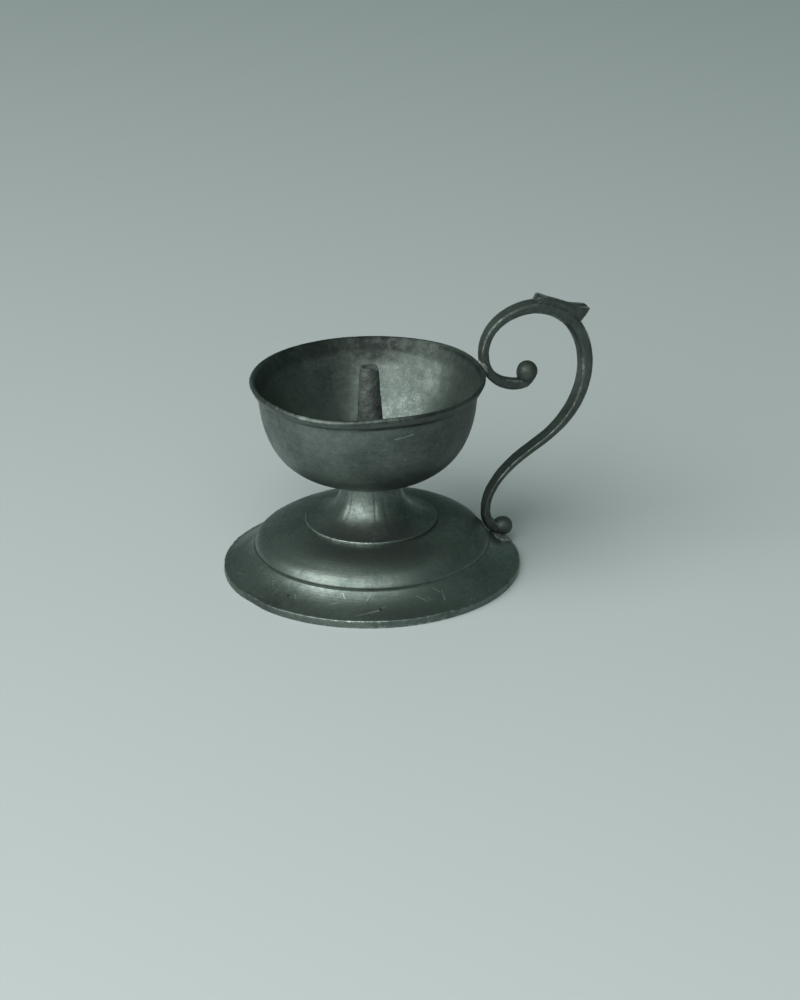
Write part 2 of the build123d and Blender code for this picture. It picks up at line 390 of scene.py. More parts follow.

# %% [markdown]
# The foot is one spun dish: a coved flange, a cut groove and a dome, hollow beneath. Its edge has been
# set down on hard tables for a long time, so it waves, stands a little higher in front than behind, has
# a dent at the left and carries nicks. Those are moved in the mesh, because they show against the
# floor, where a painted bump would not. The dome was not spun quite on the middle of its flange, and
# at the right the groove is worn down to a soft hollow. In front and to the left the groove is painted
# darker as painted shade, and at the left the bends beside it carry a painted highlight. Two stretches
# of the foot are darker and duller than the rest: a dull patch on the flange, and painted shade on the
# dome at the back right, where it faces the dim side of the room.

# %% Foot
bore_radius = 3.25
foot_wall, foot_ring, edge_height = 2.0, 2.0, 2.0
groove_radius, groove_height = foot_radius - 10.65, 8.9
groove_half, groove_depth = 0.42, 0.30
groove_end, groove_fade, groove_back = 32.0, 22.0, (-150.0, -172.0)
worn_fill, worn_fill_half = 0.4, 2.2
seat_radius = disc_radius + 0.4
flange_shares = (0.20, 0.43), (0.30, 0.145)
dome_shares = (0.05, 0.32), (0.69, 0.06)
dome_shift = 0.8
edge_wave, edge_lift, edge_ripple = 0.05, 0.55, 0.12
edge_dent = {"bearing": -54.0, "half": 7.0, "depth": 0.5}
nick_count, nick_lift = 60, 0.15
nick_spans = (-180, 180), (0.3, 0.9), (0.06, 0.3)
shaded_dome, shaded_dome_share = (105.0, 35.0), 0.34
dull_flange, dull_flange_share = (-42.0, 14.0), 0.32


def foot_outline():
    """Under the foot outwards, round its edge and back over the flange, the groove and the dome."""
    under = foot_height - foot_wall
    crease = (groove_radius - foot_wall, groove_height - foot_wall)
    ring, edge = (foot_radius - foot_ring, 0), (foot_radius, edge_height)
    low = (groove_radius + groove_half, groove_height - groove_half)
    deep = (groove_radius - groove_depth, groove_height - groove_depth / 2)
    high = (groove_radius, groove_height + groove_half)
    seat, top = (seat_radius, foot_height), (bore_radius, foot_height)
    hollow, inner_seat = (bore_radius, under), (seat_radius - foot_wall, under)
    spots = [hollow, inner_seat, crease, ring, (foot_radius, 0), edge, low, deep, high, seat, top]
    softness = [0.3, 0.6, 0.4, 0.35, 0.35, 0.25, 0.2, 0.3, 0.3, 0.2, 0.2]
    curves = {1: dome_shares[::-1], 2: flange_shares, 5: flange_shares[::-1], 8: dome_shares}
    return outline(spots, softness, 0.7, curves)


def old_edge(radius, height, angle):
    """A slightly wavy edge with nicks and one dent, always inwards from the true circle."""
    chance = random.Random(5)
    bearing, circle = seen_at(angle), level_circle(angle, foot_radius)
    upper = ramp(height, 0.4, 1.6)
    wave = edge_wave * (1 - ripple(circle, 14.0, 1))
    wave = wave + edge_dent["depth"] * hump(bearing, edge_dent["bearing"], edge_dent["half"])
    lift = edge_ripple * ripple(circle, 9.0, 2) + edge_lift * np.cos(np.radians(bearing))
    for _ in range(nick_count):
        turn, half, depth = (chance.uniform(*span) for span in nick_spans)
        gap = (bearing - turn + 180) % 360 - 180
        nick = depth * hump(gap * math.radians(foot_radius), 0, half)
        wave, lift = wave + nick * upper, lift - nick_lift * nick
    near, reach = (ramp(radius, foot_radius - width, foot_radius) for width in (4.0, 8.0))
    in_groove = hump(np.hypot(radius - groove_radius + groove_depth, height - groove_height), 0, 0.4)
    worn_away = ramp(bearing, groove_end - groove_fade, groove_end + groove_fade)
    worn_away = worn_away + ramp(bearing, *groove_back)
    radius = radius + 0.9 * groove_depth * in_groove * worn_away
    fill = hump(np.hypot(radius - groove_radius, height - groove_height), 0, worn_fill_half)
    height = height + worn_fill * fill * worn_away
    return radius - wave * near, np.maximum(height + lift * reach * upper, 0)


def off_middle(radius, height):
    """How far the dome stands to the camera's right of the flange."""
    on_dome = ramp(radius, groove_radius - 1.0, groove_radius - 4.0) * ramp(radius, 5.0, 12.0)
    share = dome_shift * on_dome
    right = math.radians(camera_side + 90)
    return share * math.cos(right), share * math.sin(right)


def edge_wear_and_highlight(bearing, radius, height):
    """The edge is rubbed in short stretches, most of all in front. At the left, the outward bends nearer
    the middle get a painted highlight.
    """
    circle = level_circle(np.radians(bearing), foot_radius)
    speckle = 0.45 + 0.5 * ripple(circle, 0.9, 3) + 0.4 * ripple(circle, 11.0, 6)
    outer = np.clip(speckle, 0, 1) * (0.4 + 0.45 * hump(bearing, -8.0, 40.0))
    # Painted highlight: the bends inside the edge are lightened at the left, where the window falls.
    groove_side = 0.45 * hump(bearing, -95.0, 40.0)
    return np.where(radius > foot_radius - 5, outer, groove_side)


def groove_shade(bearing, radius, height):
    """The groove is painted darker in front and to the left, as painted shade, and is worn shallow at the
    right.
    """
    return 0.5 * ramp(bearing, groove_end, 12.0) * ramp(bearing, -172.0, -145.0) + 0 * radius


foot, foot_rings = turned(
    "foot_turned", foot_outline(), 400,
    shape=old_edge, shift=off_middle, rubbed_and_lit=edge_wear_and_highlight, darkened=groove_shade,
)
foot_bearing, foot_reach = seen_from(foot_rings)
on_dome = ramp(foot_reach, groove_radius + 1.0, groove_radius - 2.0)
on_flange = ramp(foot_reach, groove_radius + 1.0, groove_radius + 3.0)
# Painted shade on the dome at the back right, where it faces the dim side of the room; the flange stretch
# is a dull patch.
dome_shade = shaded_dome_share * hump(foot_bearing, *shaded_dome) * on_dome
paint(foot, "soot_tarnish_shade", dome_shade + dull_flange_share * hump(foot_bearing, *dull_flange) * on_flange)

# %% [markdown]
# The stem is a little trumpet. Its thin disc stands proud on the dome, and a bead under the bowl hides
# the joint. It is turned in the same way, and only its corners differ. The disc's edge is painted light
# at the left and in front only, partly wear where the cloth reached it and partly a painted highlight
# where the window falls. A few shallow runs down its throat were left by the tool, and a painted sheen
# lies where the stem and the front of its disc face the window.

# %% Stem
waist_radius = 10.0
disc_edge = 0.9
bead_out, bead_low, bead_high = 0.8, 1.3, 0.4
stem_shares = (0.715, 0.098), (0.049, 0.654)
stem_runs = [
    (-62.0, 5.0, 0.12), (7.0, 2.2, 0.10), (24.0, 3.0, 0.07), (55.0, 5.0, 0.10), (-40.0, 3.0, 0.08),
]
stem_sheen_side, stem_sheen_height, stem_sheen_share = (-16.0, 15.0), (foot_height + 7.0, 4.0), 0.48
disc_sheen_side, disc_sheen_share = (3.0, 22.0), 0.30


def stem_outline():
    """Under the disc outwards, over its edge, up the trumpet and round the bead to the bowl."""
    disc = (disc_radius, foot_height + disc_edge)
    waist = (waist_radius, bowl_base - bead_low)
    bead = waist_radius + bead_out
    low, high = (bore_radius, foot_height), (bore_radius, bowl_base)
    bead_foot, bead_head = (bead, waist[1]), (bead, bowl_base - bead_high)
    edge, neck = (disc_radius, foot_height), (waist_radius, bowl_base)
    spots = [low, edge, disc, waist, bead_foot, bead_head, neck, high]
    return outline(spots, [0.15, 0.3, 0.25, 0.35, 0.35, 0.2, 0.2, 0.2], 0.5, {2: stem_shares})


def tool_runs(radius, height, angle):
    """Shallow runs down the throat of the trumpet."""
    throat = ramp(radius, 8.0, 9.0) * ramp(radius, 17.0, 12.5)
    cut = 0 * angle
    for bearing, half, depth in stem_runs:
        cut = cut + depth * hump(seen_at(angle), bearing, half)
    return radius - cut * throat, height


def disc_wear_and_highlight(bearing, radius, height):
    """The disc's edge is bright at the left and in front only: wear, and a painted highlight on the side
    the window lights.
    """
    stretch = ramp(bearing, -112.0, -88.0) * ramp(bearing, 26.0, 0.0)
    return np.where(radius > disc_radius - 2, 0.45 * stretch, 0.3)


stem, stem_rings = turned("stem_turned", stem_outline(), 288, shape=tool_runs, rubbed_and_lit=disc_wear_and_highlight)
stem_bearing, stem_reach = seen_from(stem_rings)
# Painted sheen: a lighter patch on the waist and on the disc's front, where they face the window.
stem_sheen = stem_sheen_share * hump(stem_bearing, *stem_sheen_side) * hump(stem_rings[..., 2], *stem_sheen_height)
disc_sheen = disc_sheen_share * hump(stem_bearing, *disc_sheen_side) * ramp(stem_reach, 14.0, 17.0)
paint(stem, "painted_sheen", np.maximum(stem_sheen, disc_sheen))

# %% [markdown]
# The bowl catches the wax. Its lip is a plain band that stands a little proud of the wall. The lip is
# no longer a true circle: it was pressed down at the front left and lifted at the front right, and the
# whole bowl sits a hair to the left on its stem. Inside, the wall leans in evenly from the lip.

# %% Bowl
bowl_wall, bowl_floor = 1.4, 2.2
bowl_radius, bowl_seat_radius = rim_radius - 2.75, 11.0
lip_height, lip_step = 3.3, 1.5
rim_bead = 0.9
throat_inset, throat_depth = 4.6, 6.0
bowl_shares = (0.03, 0.66), (0.65, 0.06)
inside_shares = (0.20, 0.38), (0.66, 0.03)
rim_warps = [(-25.0, 24.0, -0.7), (11.0, 20.0, 0.5), (-103.0, 35.0, 0.3), (122.0, 36.0, 0.75)]
bowl_shift = 0.55
rim_wave, rim_dents, rim_dips = 0.05, 0.05, 0.06
lip_stretches = [(-44.0, 16.0, 0.9), (14.0, 15.0, 0.6), (138.0, 12.0, 0.30)]


def bowl_outline():
    """Under the bowl outwards, up its side, over the lip and down inside to the floor."""
    lip_base, bead_height = rim_height - lip_height, rim_height - rim_bead
    seat, wall = (bowl_seat_radius, bowl_base), (bowl_radius, lip_base)
    lip = (bowl_radius + lip_step, lip_base)
    outer, inner = (rim_radius, bead_height), (rim_radius - 2 * rim_bead, bead_height)
    crest = (rim_radius - rim_bead, rim_height + rim_bead * 0.25)
    throat = (rim_radius - throat_inset, rim_height - throat_depth)
    floor_height = bowl_base + bowl_floor
    bottom = (bowl_seat_radius - bowl_wall, floor_height)
    low, high = (bore_radius, bowl_base), (bore_radius, floor_height)
    spots = [low, seat, wall, lip, outer, crest, inner, throat, bottom, high]
    softness = [0.4, 0.3, 0.35, 0.5, 0.6, 0.4, 1.5, 0.4, 0.2, 0.2]
    return outline(spots, softness, 0.7, {1: bowl_shares[::-1], 7: inside_shares})


def old_rim(radius, height, angle):
    """The lip pressed out of true, fading down the wall."""
    near = ramp(height, rim_height - 12.0, rim_height - 2.0)
    warp = 0 * angle
    for bearing, half, amount in rim_warps:
        gap = (seen_at(angle) - bearing + 180) % 360 - 180
        warp = warp + amount * hump(gap, 0, half)
    circle = level_circle(angle, rim_radius)
    dent = rim_wave * (1 - ripple(circle, 9.0, 4)) + rim_dents * np.abs(ripple(circle, 2.0, 24))
    dip = rim_dips * np.abs(ripple(circle, 2.6, 25))
    return radius - dent * near, height + warp * near - dip * near


def sits_left(radius, height):
    """The bowl stands a hair to the camera's left."""
    left = math.radians(camera_side - 90)
    share = bowl_shift * ramp(height, bowl_base, bowl_base + 6.0) + 0 * radius
    return share * math.cos(left), share * math.sin(left)


def lip_rub(bearing, radius, height):
    """The crest of the lip is rubbed in patches in front, and hardly at the back and the sides."""
    circle = level_circle(np.radians(bearing), rim_radius)
    patches = np.clip(0.30 + 0.8 * ripple(circle, 5.0, 21) + 0.7 * ripple(circle, 1.3, 22), 0, 1)
    stretches = sum(amount * hump(bearing, middle, half) for middle, half, amount in lip_stretches)
    return patches * np.clip(0.12 + stretches, 0, 1) + 0 * radius


def under_lip_shade(bearing, radius, height):
    """Painted shade under the lip, from the front to the right, and none at the left."""
    return ramp(bearing, -62.0, -30.0) * ramp(bearing, 75.0, 35.0) + 0 * radius


bowl_line = bowl_outline()
bowl, bowl_rings = turned("bowl_turned", bowl_line, 400, True, old_rim, sits_left, lip_rub, under_lip_shade)

# %% [markdown]
# Candles left soot inside the bowl, thickest at the back under the rim. It runs down behind the pricket
# and to the left of it, and at the right it is thin. Under the rim and in a ring below it the soot is laid
# on thick, also as painted shade over the sheen there, and it dims the lip's crest as well. At the right
# inside, a mottled painted sheen lightens the wall. Outside, painted shade darkens the wall under the
# lip from the front to the right, the right side and the bottom. Each stretch is a soft bump or step, by
# bearing and by depth below the rim, and the darkest one counts. A pair of values is the middle of a
# stretch and its half width.

# %% Soot and painted shade on the bowl
soot_back, soot_right, ring_back, stain_left = (-5.0, 28.0), (-75.0, 25.0), (-4.0, 26.0), (24.0, 18.0)
bare_sides, light_left, light_right = (70.0, 40.0), (-85.0, 32.0), (60.0, 22.0)
sheen_side, sheen_depth, sheen_share = (134.0, 12.0), (10.5, 6.0), 0.55


def soot_inside(bearing, depth):
    """Soot under the rim, in a ring below it, behind the pricket and beside it; under the rim and in the
    ring it is also painted shade over their sheen.
    """
    from_back = (bearing + 360) % 360 - 180
    rim = 0.66 + 0.32 * hump(from_back, *soot_back) - 0.30 * hump(from_back, *soot_right)
    bare_lip = ramp(depth, 1.1, 0.4) * hump(np.abs(bearing), *bare_sides)
    rim = rim * ramp(depth, 7.5, 3.5) * (1 - bare_lip)
    ring = (0.20 + 0.74 * hump(from_back, *ring_back)) * ramp(depth, 12.0, 6.0)
    behind = 0.45 * ramp(from_back, -50.0, -25.0) * ramp(from_back, 45.0, 15.0) * hump(depth, 9.0, 5.0)
    beside = 0.45 * hump(from_back, *stain_left) * ramp(depth, 5.0, 9.0)
    return np.maximum.reduce([rim, ring, behind, beside])


def soot_on_lip(bearing, depth):
    """Soot on the crest of the lip, less at the left and the right and where it is rubbed; it also dims the
    crest's highlight, as painted shade.
    """
    lighter = 0.60 * hump(bearing, *light_left) + 0.45 * hump(bearing, *light_right)
    return hump(depth, 0.4, 1.2) * (0.84 - lighter) * (1 - lip_rub(bearing, rim_radius, rim_height))


def shade_outside(bearing, depth):
    """Painted shade under the lip from the front to the right, on the right side, and round the bottom."""
    under_lip = hump(depth, lip_height + 0.7, 0.5) * under_lip_shade(bearing, rim_radius, rim_height)
    right = 0.25 * ramp(bearing, -45.0, 5.0) + 0.13 * ramp(bearing, 5.0, 40.0)
    right = right + 0.26 * hump(depth, 2.2, 1.3) * hump(bearing, 45.0, 25.0)
    bottom = 0.44 * ramp(rim_height - depth, bowl_base + 16.0, bowl_base + 4.0)
    return np.maximum.reduce([under_lip, right * ramp(bearing, 178.0, 100.0), bottom])


bowl_bearing, _ = seen_from(bowl_rings)
bowl_depth = rim_height - bowl_rings[..., 2]
inside = (np.arange(len(bowl_line)) > bowl_line[:, 1].argmax())[:, None]
soot = inside * soot_inside(bowl_bearing, bowl_depth) * (0.98 + 0.10 * ripple(bowl_rings, 5.0, 27))
outside_shade = np.where(inside, 0, shade_outside(bowl_bearing, bowl_depth))
# Soot and painted shade in one value: the darkest stretch counts.
soot_tarnish_shade = np.clip(np.maximum.reduce([soot, soot_on_lip(bowl_bearing, bowl_depth), outside_shade]), 0, 1)
# Painted sheen: a mottled lighter patch on the inner wall at the right, where the window's reflection
# spreads.
painted_sheen = hump(bowl_bearing, *sheen_side) * hump(bowl_depth, *sheen_depth)
paint(bowl, "soot_tarnish_shade", soot_tarnish_shade)
paint(bowl, "painted_sheen", sheen_share * inside * painted_sheen)
paint(bowl, "unturned", inside + 0 * bowl_bearing)
print("smoke on the bowl reaches", round(float(soot_tarnish_shade.max()), 2))

# %% [markdown]
# The pricket is the iron spike that the candle is pushed onto. It is forged by hand, so it is slightly
# pitted and its top is dished and ragged, with a chip at one side. Its shank goes down through bowl,
# stem and foot, and ends in a thread under the nut.

# %% Pricket
pricket_top_radius, shank_radius = 3.05, 3.0
pricket_floor = bowl_base + bowl_floor
thread_pitch, thread_depth = 1.0, 0.3
nut_low, nut_high = corners("clamp_nut")[0][2], corners("clamp_nut")[1][2]
chip_bearing = 62.0


def hardly(bearing, radius, height):
    """Rubbed a little at every bearing."""
    return 0.35 + 0 * radius


def pricket_outline():
    """From the shank's end upwards to the ragged top."""
    top = (pricket_top_radius, pricket_top)
    shank = [(shank_radius, height) for height in (pricket_end, nut_high, pricket_floor)]
    spots = [(0.2, pricket_end), *shank, (pricket_base_radius, pricket_floor), top, (0.2, pricket_top)]
    return outline(spots, [0.3, 0.1, 0.1, 0.1, 0.3, 0.0], 0.3, closed=False)


def forged(radius, height, angle):
    """Pits and a ragged top on the spike, and a thread on the end of its shank."""
    place = np.stack([radius * np.cos(angle), radius * np.sin(angle), height], axis=-1)
    spike = ramp(height, pricket_floor + 0.3, pricket_floor + 1.5)
    pits = np.clip(-ripple(place, 2.4, 7) - 0.1, 0, 1) + 0.6 * np.clip(-ripple(place, 0.9, 8) - 0.15, 0, 1)
    radius = radius - spike * np.minimum(0.4 * pits, radius * 0.2)
    crown = ramp(height, pricket_top - 2.0, pricket_top)
    rim = np.clip(radius / pricket_top_radius, 0, 1)
    chip = hump(seen_at(angle), chip_bearing, 40.0) * ramp(rim, 0.3, 0.9)
    dish = 0.3 * (1 - ramp(rim, 0.2, 0.85))
    height = height - crown * (0.12 + 0.22 * np.abs(ripple(place, 1.4, 9)) + dish + 0.9 * chip)
    thread = 1 - ramp(height, nut_high - 0.5, nut_high)
    turns = (height / thread_pitch - angle / (2 * math.pi)) % 1
    skirt = ramp(radius, shank_radius * 0.7, shank_radius * 0.95)
    cut = thread_depth * np.abs(2 * turns - 1) * thread * skirt
    return radius - cut, height


pricket, _ = turned("pricket_forged", pricket_outline(), 120, closed=False, shape=forged, rubbed_and_lit=hardly)

# %% [markdown]
# Under the foot a washer and a nut pull the stack together. Nobody sees them while the stick stands,
# but they show when it is turned over. The nut is turned too: each point of its side is drawn in to
# the six flats, and a cone at its free end makes the curved chamfer that real nuts have.

# %% Washer and nut
washer_low, washer_high = corners("clamp_washer")[0][2], corners("clamp_washer")[1][2]
washer_radius = corners("clamp_washer")[1][0]
nut_half = corners("clamp_nut")[1][1]
nut_bore = 3.1


def ring_outline(inner, outer, low, high, softness, spacing):
    """A plain ring with rounded corners."""
    spots = [(inner, low), (outer, low), (outer, high), (inner, high)]
    return outline(spots, [softness] * 4, spacing)


def six_flats(radius, height, angle):
    """Draws a round ring in to a hexagon with a cone at its lower end."""
    flats = nut_half / np.cos((angle + math.pi / 6) % (math.pi / 3) - math.pi / 6)
    cone = nut_half * 0.97 + (height - nut_low) * 1.7
    outside = ramp(radius, nut_bore + 0.6, nut_half)
    return radius + (np.minimum(flats, cone) - radius) * outside * (radius > nut_bore + 0.5), height


washer_line = ring_outline(bore_radius, washer_radius, washer_low, washer_high, 0.25, 0.6)
nut_line = ring_outline(nut_bore, nut_half, nut_low, nut_high, 0.12, 0.2)
washer, _ = turned("washer_cut", washer_line, 160)
nut, _ = turned("nut_cut", nut_line, 144, shape=six_flats)

# %% [markdown]
# The handle is a cast strap. Its middle runs through points that were read from the scroll: from the
# upper ball round the loop, down the leg and into the lower ball. A cubic spline through them keeps
# the bends even. Its section is a flat bar with small round corners, and the front corner catches the
# light all along. A shallow crease runs on from the thumb leaf and dies out halfway down the back.

# %% Scroll handle
handle_reach, handle_rise, handle_inset, curl_height = 37.1, 17.8, 5.0, 10.0
loop_shares = [
    (0.505, -0.376), (0.416, -0.494), (0.275, -0.497), (0.082, -0.243), (0.020, 0.202),
    (0.112, 0.673), (0.300, 0.923), (0.520, 0.985), (0.827, 0.680), (1.000, -0.170),
]
leg_shares = [(0.298, 0.851), (0.450, 0.592), (0.564, 0.275), (0.698, 0.020)]
curl_shares = [(-0.417, 1.000), (-0.240, 0.445), (0.225, 0.204)]
strap_thickness, strap_width = 5.05, 6.2
thickness_shares = [
    0.30, 0.74, 0.76, 0.68, 0.57, 0.55, 0.63, 0.82, 1.00, 0.88, 0.62, 0.45, 0.42, 0.36, 0.45, 0.78, 0.61,
]
width_shares = [
    0.48, 0.65, 0.68, 0.71, 0.77, 0.84, 0.94, 0.97, 0.97, 1.00, 1.00, 0.90, 0.90, 0.85, 0.81, 0.77, 0.68,
]
corner_share = 0.65
strap_steps, corner_steps, face_steps = 320, 8, 12
crease_run = [(7.6, -1.00), (8.2, -0.78), (9.0, -0.92), (9.5, -1.00)]
crease_depth = 0.35


def smooth_line(points, count):
    """An even run of points on a natural cubic spline, and where each lies among the given ones."""
    points = np.array(points, float)
    knots = np.concatenate([[0], np.cumsum(np.linalg.norm(np.diff(points, axis=0), axis=1))])
    gap = np.diff(knots)
    rows, right = np.eye(len(points)), np.zeros_like(points)
    slope = np.diff(points, axis=0) / gap[:, None]
    for k in range(1, len(points) - 1):
        rows[k, k - 1 : k + 2] = gap[k - 1], 2 * (gap[k - 1] + gap[k]), gap[k]
        right[k] = 6 * (slope[k] - slope[k - 1])
    bend = np.linalg.solve(rows, right)
    place = np.linspace(0, knots[-1], count)
    k = np.clip(np.searchsorted(knots, place, side="right") - 1, 0, len(gap) - 1)
    a, b, h = (knots[k + 1] - place)[:, None], (place - knots[k])[:, None], gap[k][:, None]
    line = (bend[k] * a**3 + bend[k + 1] * b**3) / (6 * h)
    line += (points[k] / h - bend[k] * h / 6) * a + (points[k + 1] / h - bend[k + 1] * h / 6) * b
    return line, np.interp(place, knots, np.arange(len(points)))


def flange_height(radius):
    """How high the top of the flange lies at a radius."""
    flange = leg((groove_radius, groove_height), (foot_radius, edge_height), *flange_shares)
    return np.interp(radius, flange[:, 0], flange[:, 1])


def scroll_points():
    """The middle of the strap, outwards and upwards, from the upper ball to the lower one."""
    rim = np.array([rim_radius, rim_height])
    joint = np.array([foot_radius - handle_inset, flange_height(foot_radius - handle_inset)])
    loop = [rim + np.array(s) * (handle_reach, handle_rise) for s in loop_shares]
    down = [rim + (joint - rim) * d + np.array([out * handle_reach, 0]) for d, out in leg_shares]
    curl = [joint + np.array(s) * curl_height for s in curl_shares]
    return loop + down + curl


strap_middle, strap_place = smooth_line(scroll_points(), strap_steps)
strap_along = np.gradient(strap_middle, axis=0)
strap_along /= np.linalg.norm(strap_along, axis=1)[:, None]
strap_out = np.stack([-strap_along[:, 1], strap_along[:, 0]], axis=1)
knots = np.arange(len(thickness_shares))
half_thick = np.interp(strap_place, knots, thickness_shares) * strap_thickness / 2
half_wide = np.interp(strap_place, knots, width_shares) * strap_width / 2


def bar_section():
    """One turn round a bar with round corners: on which flat, and which way the surface looks."""
    quarter = np.linspace(0, math.pi / 2, corner_steps)
    flat = np.linspace(1, -1, face_steps)[1:-1]
    flat_out, flat_side, look = [], [], []
    for k, (out, side) in enumerate(((1, 1), (-1, 1), (-1, -1), (1, -1))):
        flat_out += [out] * corner_steps
        flat_side += [side] * corner_steps
        look += list(quarter + k * math.pi / 2)
        flat_out += list(flat * out) if k % 2 == 0 else [out] * len(flat)
        flat_side += [side] * len(flat) if k % 2 == 0 else list(flat * side)
        look += [(k + 1) * math.pi / 2] * len(flat)
    return np.array(flat_out), np.array(flat_side), np.cos(look), np.sin(look)


def strap_rings():
    """Sections along the scroll, creased after the leaf and let in where they meet the rim."""
    flat_out, flat_side, look_out, look_side = bar_section()
    corner = corner_share * np.minimum(half_thick, half_wide)[:, None]
    out = (half_thick[:, None] - corner) * flat_out + corner * look_out
    y = (half_wide[:, None] - corner) * flat_side + corner * look_side
    run = np.interp(strap_place, *zip(*crease_run))[:, None]
    crease = ramp(strap_place, 7.7, 8.1) * ramp(strap_place, 9.5, 9.0)
    crease = crease[:, None] * hump(out / half_thick[:, None], run, 0.30) * np.abs(look_side)
    y = y - np.sign(y) * crease_depth * crease
    x = strap_middle[:, :1] + strap_out[:, :1] * out
    z = strap_middle[:, 1:] + strap_out[:, 1:] * out
    place = np.stack([x, y, z], axis=-1)
    look = np.stack([strap_out[:, :1] * look_out, look_side + 0 * x, strap_out[:, 1:] * look_out], -1)
    rough = 0.05 * ripple(place, 3.5, 11) + 0.03 * ripple(place, 1.3, 12) - 0.08
    place = place + rough[..., None] * look
    bowl_side = sits_left(rim_radius, rim_height)
    apart = np.hypot(place[..., 0] - bowl_side[0], place[..., 1] - bowl_side[1])
    seat = (place[..., 2] < rim_height) & (apart < rim_radius)
    let_in = bowl_side[0] + np.sqrt(rim_radius**2 - (place[..., 1] - bowl_side[1]) ** 2)
    place[..., 0] = np.where(seat, let_in, place[..., 0])
    return place, 4 * (look_out * look_side) ** 2 + 0 * x, crease


strap_skin, strap_corner, strap_crease = strap_rings()
strap_outer = bar_section()[2] > 0.2
handle = skin("handle_cast", strap_skin, closed=False)
# Wear on the strap's corners, which is also a painted highlight along them.
paint(handle, "wear_and_highlight", strap_corner * (0.42 + 0.5 * ripple(strap_skin, 6.0, 15)))
print("handle", len(handle.data.vertices), "points, back at", round(strap_skin[..., 0].max(), 2))

# %% [markdown]
# Each end of the scroll closes on a ball. Cast balls are never quite round, so a little noise presses
# them in. The front of each ball is painted lighter, as a painted highlight. Where the strap lies
# against a ball, the strap's points near it are painted darker, as painted shade between the two.

# %% Balls


def all_ways(rows):
    """Directions from the middle of a ball, in rings from its lowest to its highest."""
    lift = np.linspace(-math.pi / 2, math.pi / 2, rows)[1:-1, None]
    turn = np.linspace(0, 2 * math.pi, 64, endpoint=False)[None]
    return np.stack([np.cos(lift) * np.cos(turn), np.cos(lift) * np.sin(turn), np.sin(lift) + 0 * turn], -1)


def ball(name, node, pull, seed):
    """A cast ball at a node, slightly out of round and drawn out towards the strap."""
    low, high = corners(node)
    middle, radius = (low + high) / 2, (high - low)[1] / 2
    way = all_ways(42)
    towards = way @ (np.array(pull) / np.linalg.norm(pull))
    size = radius * (1.02 + 0.22 * np.clip(towards, 0, 1) ** 2 - 0.02 * ripple(way * radius, 2.5, seed))
    piece = skin(name, middle + way * size[..., None], closed=False)
    # Painted highlight on the front of the ball, the side that faces the camera.
    paint(piece, "wear_and_highlight", ramp(-way[..., 1], 0.7, 1.0) * 0.3)
    # Painted shade: the strap's points close to the ball are darkened.
    gap = np.linalg.norm(strap_skin - middle, axis=-1) - radius
    print(name, "radius", round(radius, 2))
    return piece, hump(gap, 0, 0.4)


upper_ball, upper_ball_shade = ball("upper_ball_cast", "upper_scroll_ball", (-0.3, 0, -1), 13)
lower_ball, lower_ball_shade = ball("lower_ball_cast", "lower_scroll_ball", (-1, 0, 0.15), 14)

# %% [markdown]
# On top of the loop sits a leaf for the thumb. It starts with a rounded front, is dished along its
# length and ends in a blunt spur that hangs over a notch. It is a loft of dished sections along a chord
# of the strap, wide in front, narrow behind and rooted inside the strap. The line where the two meet is
# painted darker as painted shade, so the strap's crease shade is painted here.

# %% Thumb leaf
leaf_start_share, leaf_end_share = 0.325, 0.434
leaf_middle = (leaf_start_share + leaf_end_share) / 2
leaf_top = [
    (0.000, 1.00), (0.008, 2.10), (0.100, 2.50), (0.299, 2.78), (0.538, 3.33),
    (0.705, 3.73), (0.913, 5.15), (1.006, 5.42), (1.069, 4.90),
]
leaf_under = [(1.003, 0.20), (1.025, 1.65), (1.062, 3.30), (1.069, 4.60)]
leaf_half = [
    (0.0, 2.35), (0.05, 2.7), (0.15, 2.85), (0.5, 2.95), (0.9, 2.6), (1.0, 1.9), (1.05, 1.1), (1.069, 0.5),
]
leaf_root_depth = 1.6
leaf_dish, leaf_lip = 0.5, 0.22


def outer_edge(share):
    """A point on the outside of the loop."""
    k = round(share * (strap_steps - 1))
    return strap_middle[k] + strap_out[k] * half_thick[k]


def leaf_section(half, high, root):
    """Half a dished section, from the middle of its root to the middle of its top."""
    tall, root_half = high - root, half * 0.72
    dish, lip = leaf_dish * min(1.0, half / 2, tall / 2), min(leaf_lip, tall / 5)
    spots = [
        (0, root), (root_half, root), (root_half + (half - root_half) * 0.45, root + tall * 0.45),
        (half * 0.97, high - lip * 2), (half, high - lip), (half * 0.93, high),
        (half * 0.6, high - dish * 0.65), (0, high - dish),
    ]
    return smooth_line(spots, 26)[0]


def leaf_rings():
    """Sections along the chord between two places on the outside of the loop."""
    start, end = outer_edge(leaf_start_share), outer_edge(leaf_end_share)
    chord = np.linalg.norm(end - start)
    along = (end - start) / chord
    up = np.array([-along[1], along[0]])
    bow = (outer_edge(leaf_middle) - start) @ up
    rings, shares = [], []
    for share, high in smooth_line(np.array(leaf_top) * (chord, 1), 64)[0]:
        share = share / chord
        half = np.interp(share, *zip(*leaf_half))
        inside_strap = bow * (1 - (2 * share - 1) ** 2) - leaf_root_depth
        underside = [(0.95, inside_strap), *leaf_under]
        root = min(np.interp(share, *zip(*underside)), high - 0.3)
        right = leaf_section(half, high, root)
        loop = np.vstack([right, (right * (-1, 1))[-2:0:-1]])
        flat = start + along * share * chord + up * loop[:, 1:]
        rings.append(np.stack([flat[:, 0], loop[:, 0], flat[:, 1]], axis=1))
        shares.append(share)
    return np.array(rings), np.array(shares)


